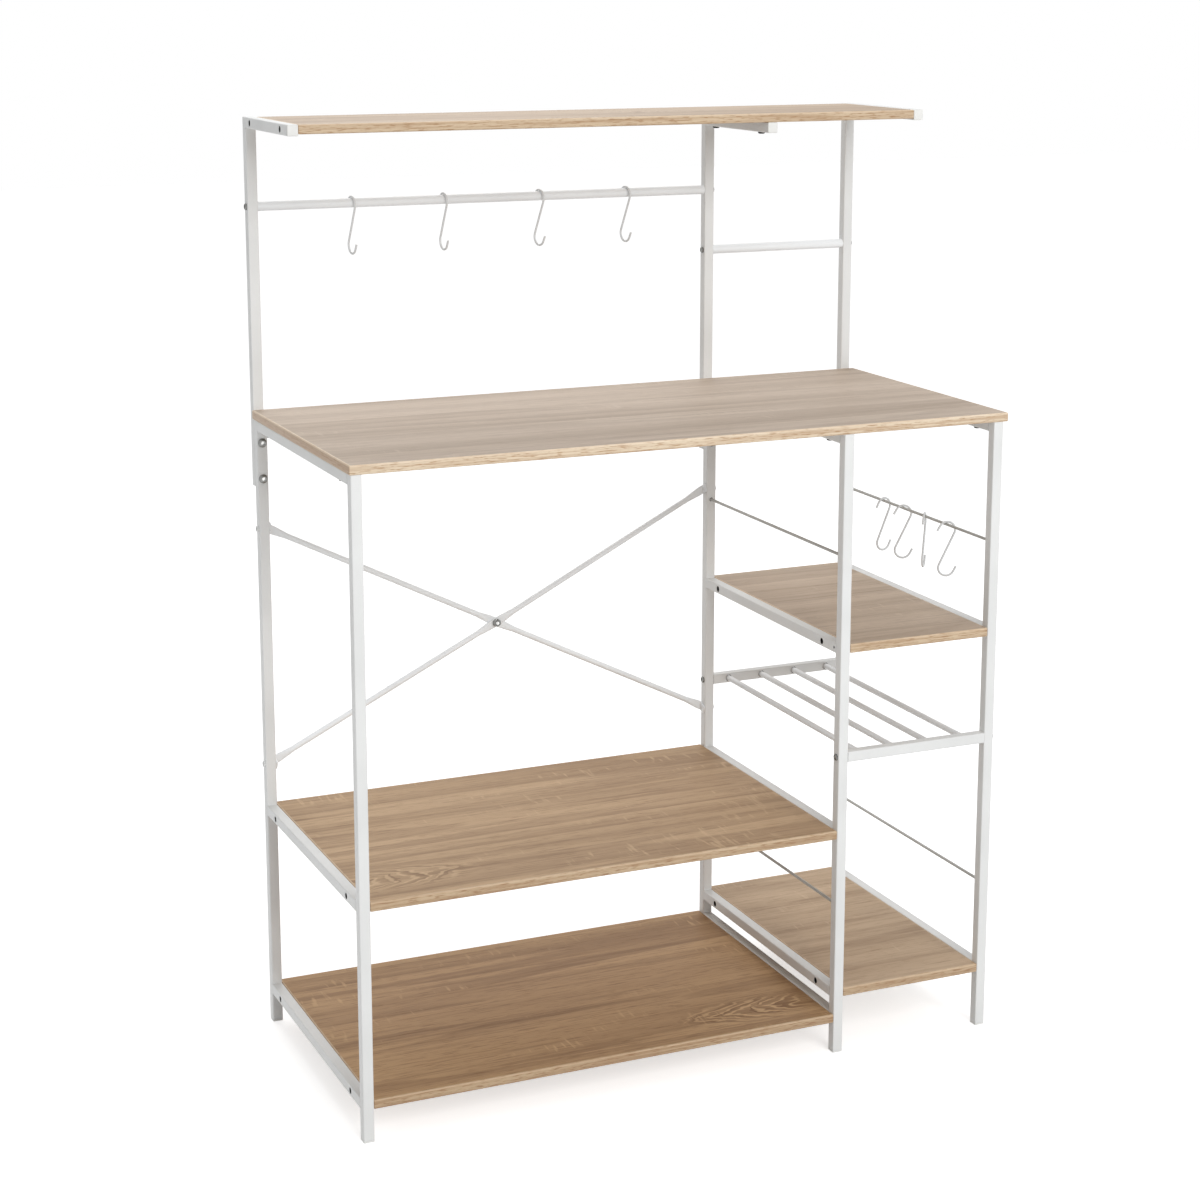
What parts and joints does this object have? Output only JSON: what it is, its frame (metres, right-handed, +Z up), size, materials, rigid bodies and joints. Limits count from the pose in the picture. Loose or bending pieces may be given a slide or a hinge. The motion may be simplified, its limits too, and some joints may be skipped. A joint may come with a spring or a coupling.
{
  "type": "kitchen rack",
  "caption": "Free-standing kitchen rack of white square tube with oak boards: worktop, shelves, bottle rack, back brace, raised top shelf and rails with swinging S hooks.",
  "frame": {"origin": "on the floor, under the middle of the rack's overall box", "axes": "+X to the rack's right as seen from its front, +Y to its back, +Z up"},
  "size_m": [0.8999, 0.4337, 1.23],
  "materials": {
    "white_frame": "satin powder coat",
    "oak_board": "matt oak laminate",
    "zinc_bolt": "zinc plated",
    "black_screw": "black oxide",
    "white_plug": "moulded",
    "hook_wire": "gloss coat"
  },
  "bodies": {
    "rack": {"post_left_front": "white_frame", "post_left_rear": "white_frame", "bar_left_top": "white_frame", "post_mid_front": "white_frame", "post_mid_rear": "white_frame", "bar_mid_top": "white_frame", "post_right_front": "white_frame", "post_right_rear": "white_frame", "bar_right_top": "white_frame", "bar_left_middle": "white_frame", "bar_left_lower": "white_frame", "bar_mid_for_left_middle": "white_frame", "bar_mid_for_left_lower": "white_frame", "bar_mid_for_right_upper": "white_frame", "bar_mid_for_right_lower": "white_frame", "bar_right_upper": "white_frame", "bar_right_lower": "white_frame", "upper_post_left": "white_frame", "shelf_arm_left": "white_frame", "upper_post_mid": "white_frame", "shelf_arm_mid": "white_frame", "upper_post_right": "white_frame", "shelf_arm_right": "white_frame", "hook_rail_long": "white_frame", "hook_rail_short": "white_frame", "guard_rod_mid_upper": "white_frame", "guard_rod_mid_lower": "white_frame", "guard_rod_right_upper": "white_frame", "guard_rod_right_lower": "white_frame", "bottle_bar_front": "white_frame", "bottle_bar_rear": "white_frame", "bottle_rod_1": "white_frame", "bottle_rod_2": "white_frame", "bottle_rod_3": "white_frame", "bottle_rod_4": "white_frame", "shelf_left_middle": "oak_board", "shelf_left_lower": "oak_board", "shelf_right_upper": "oak_board", "shelf_right_lower": "oak_board", "worktop": "oak_board", "top_shelf": "oak_board", "brace_rising": "white_frame", "brace_falling": "white_frame", "upper_post_bolts": "zinc_bolt", "rail_bolts": "zinc_bolt", "bottle_rack_bolts": "zinc_bolt", "brace_bolts": "zinc_bolt", "board_end_screws": "black_screw", "board_under_screws": "black_screw", "foot_plugs": "white_plug", "arm_plugs": "white_plug"},
    "rail_hook_1": {"rail_hook_1": "hook_wire"},
    "rail_hook_2": {"rail_hook_2": "hook_wire"},
    "rail_hook_3": {"rail_hook_3": "hook_wire"},
    "rail_hook_4": {"rail_hook_4": "hook_wire"},
    "guard_hook_1": {"guard_hook_1": "hook_wire"},
    "guard_hook_2": {"guard_hook_2": "hook_wire"},
    "guard_hook_3": {"guard_hook_3": "hook_wire"},
    "guard_hook_4": {"guard_hook_4": "hook_wire"}
  },
  "joints": [
    {"name": "rail_hook_1_swing", "type": "hinge", "parent": "rack", "child": "rail_hook_1", "pos_m": [-0.30555, 0.2021, 1.115], "axis": [1, 0, 0], "range_deg": [-60, 60]},
    {"name": "rail_hook_2_swing", "type": "hinge", "parent": "rack", "child": "rail_hook_2", "pos_m": [-0.17735, 0.2021, 1.115], "axis": [1, 0, 0], "range_deg": [-60, 60]},
    {"name": "rail_hook_3_swing", "type": "hinge", "parent": "rack", "child": "rail_hook_3", "pos_m": [-0.03953, 0.2021, 1.115], "axis": [1, 0, 0], "range_deg": [-60, 60]},
    {"name": "rail_hook_4_swing", "type": "hinge", "parent": "rack", "child": "rail_hook_4", "pos_m": [0.08867, 0.2021, 1.115], "axis": [1, 0, 0], "range_deg": [-60, 60]},
    {"name": "guard_hook_1_swing", "type": "hinge", "parent": "rack", "child": "guard_hook_1", "pos_m": [0.43525, 0.07491, 0.677], "axis": [0, 1, 0], "range_deg": [-60, 60]},
    {"name": "guard_hook_2_swing", "type": "hinge", "parent": "rack", "child": "guard_hook_2", "pos_m": [0.43525, 0.02066, 0.677], "axis": [0, 1, 0], "range_deg": [-60, 60]},
    {"name": "guard_hook_3_swing", "type": "hinge", "parent": "rack", "child": "guard_hook_3", "pos_m": [0.43525, -0.03587, 0.677], "axis": [0, 1, 0], "range_deg": [-60, 60]},
    {"name": "guard_hook_4_swing", "type": "hinge", "parent": "rack", "child": "guard_hook_4", "pos_m": [0.43525, -0.09546, 0.677], "axis": [0, 1, 0], "range_deg": [-60, 60]}
  ]
}
